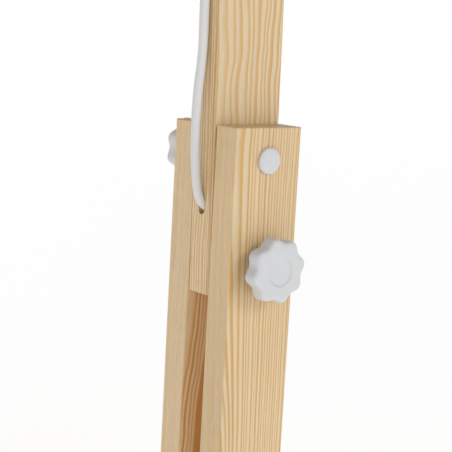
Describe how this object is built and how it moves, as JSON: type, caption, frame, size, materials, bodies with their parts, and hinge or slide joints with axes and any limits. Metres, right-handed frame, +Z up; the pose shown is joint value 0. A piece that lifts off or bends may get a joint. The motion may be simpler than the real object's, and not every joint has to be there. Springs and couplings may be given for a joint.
{
  "type": "children's easel",
  "caption": "Pine H-frame standing easel for children: slatted leg stands clamp a tilting board frame with tray, cups, paper roll, side cords and white star knobs.",
  "frame": {"origin": "middle of the bottom of the foot pads, on the floor, half way between the two stands and between the ends of the foot runners", "axes": "+Z up, +X to the right of a child facing the board, the child stands on the -Y side, mm in the source and metres in the row"},
  "size_m": [0.6372, 0.48, 1.1491],
  "materials": {
    "pine": "clear satin lacquer over straight-grained softwood",
    "turned_wood": "plain sanded hardwood dowel",
    "hardboard": "raw brown hardboard",
    "white_plastic": "moulded, semi-gloss",
    "nylon": "plain",
    "white_lacquer": "smooth writing surface",
    "chalk_paint": "fine matt writing surface",
    "rubber": "matt",
    "steel": "zinc plated",
    "brass": "turned",
    "kraft_board": "spiral wound tube",
    "paper": "uncoated drawing paper",
    "cord": "smooth round sheath"
  },
  "bodies": {
    "base": {"right_outer_leg": "pine", "right_inner_leg": "pine", "left_outer_leg": "pine", "left_inner_leg": "pine", "right_foot": "pine", "left_foot": "pine", "foot_pads": "rubber", "foot_bolts": "steel", "foot_bolt_caps": "white_plastic", "stretcher": "pine", "stretcher_bolts": "steel", "barrel_nuts": "steel", "right_bolts": "steel", "left_bolts": "steel", "right_bolt_caps": "white_plastic", "left_bolt_caps": "white_plastic", "shims": "nylon", "right_lock_washer": "steel", "right_pivot_washer": "steel", "left_lock_washer": "steel", "left_pivot_washer": "steel"},
    "board_frame": {"right_post": "pine", "left_post": "pine", "bottom_rail": "pine", "top_rail": "pine", "rail_screws": "steel", "panel_core": "hardboard", "white_face": "white_lacquer", "chalk_face": "chalk_paint", "tray_base": "pine", "tray_back": "pine", "tray_front": "pine", "tray_ends": "pine", "tray_screws": "steel", "tear_bar": "white_plastic", "tear_bar_screws": "steel", "right_cradle": "white_plastic", "left_cradle": "white_plastic", "cradle_screws": "steel", "right_cord": "cord", "left_cord": "cord", "cord_ferrules": "steel"},
    "right_lock_knob_body": {"right_lock_knob": "white_plastic", "right_lock_insert": "brass"},
    "right_pivot_knob_body": {"right_pivot_knob": "white_plastic", "right_pivot_insert": "brass"},
    "left_lock_knob_body": {"left_lock_knob": "white_plastic", "left_lock_insert": "brass"},
    "left_pivot_knob_body": {"left_pivot_knob": "white_plastic", "left_pivot_insert": "brass"},
    "rod": {"roll_rod": "turned_wood", "rod_collars": "rubber"},
    "roll": {"roll_core": "kraft_board", "roll_hubs": "white_plastic", "paper_roll": "paper"},
    "cup_left_body": {"cup_left": "white_plastic"},
    "cup_middle_body": {"cup_middle": "white_plastic"},
    "cup_right_body": {"cup_right": "white_plastic"}
  },
  "joints": [
    {"name": "board_tilt", "type": "hinge", "parent": "base", "child": "board_frame", "pos_m": [0, 0.03, 0.49], "axis": [-1, 0, 0], "range_deg": [-1, 14]},
    {"name": "right_lock_turn", "type": "hinge", "parent": "base", "child": "right_lock_knob_body", "pos_m": [0, 0.02544, 0.42476], "axis": [1, 0, 0], "range_deg": [0, 720]},
    {"name": "right_pivot_turn", "type": "hinge", "parent": "base", "child": "right_pivot_knob_body", "pos_m": [0, 0.03, 0.49], "axis": [-1, 0, 0], "range_deg": [0, 720]},
    {"name": "left_lock_turn", "type": "hinge", "parent": "base", "child": "left_lock_knob_body", "pos_m": [0, 0.02544, 0.42476], "axis": [-1, 0, 0], "range_deg": [0, 720]},
    {"name": "left_pivot_turn", "type": "hinge", "parent": "base", "child": "left_pivot_knob_body", "pos_m": [0, 0.03, 0.49], "axis": [1, 0, 0], "range_deg": [0, 720]},
    {"name": "rod_lift", "type": "slide", "parent": "board_frame", "child": "rod", "axis": [0, 0.0523, 0.9986], "range_m": [0, 0.06]},
    {"name": "roll_spin", "type": "hinge", "parent": "rod", "child": "roll", "pos_m": [0, 0.06297, 1.11914], "axis": [1, 0, 0], "continuous": true},
    {"name": "cup_left_lift", "type": "slide", "parent": "board_frame", "child": "cup_left_body", "axis": [0, 0.0523, 0.9986], "range_m": [0, 0.09]},
    {"name": "cup_middle_lift", "type": "slide", "parent": "board_frame", "child": "cup_middle_body", "axis": [0, 0.0523, 0.9986], "range_m": [0, 0.09]},
    {"name": "cup_right_lift", "type": "slide", "parent": "board_frame", "child": "cup_right_body", "axis": [0, 0.0523, 0.9986], "range_m": [0, 0.09]}
  ]
}
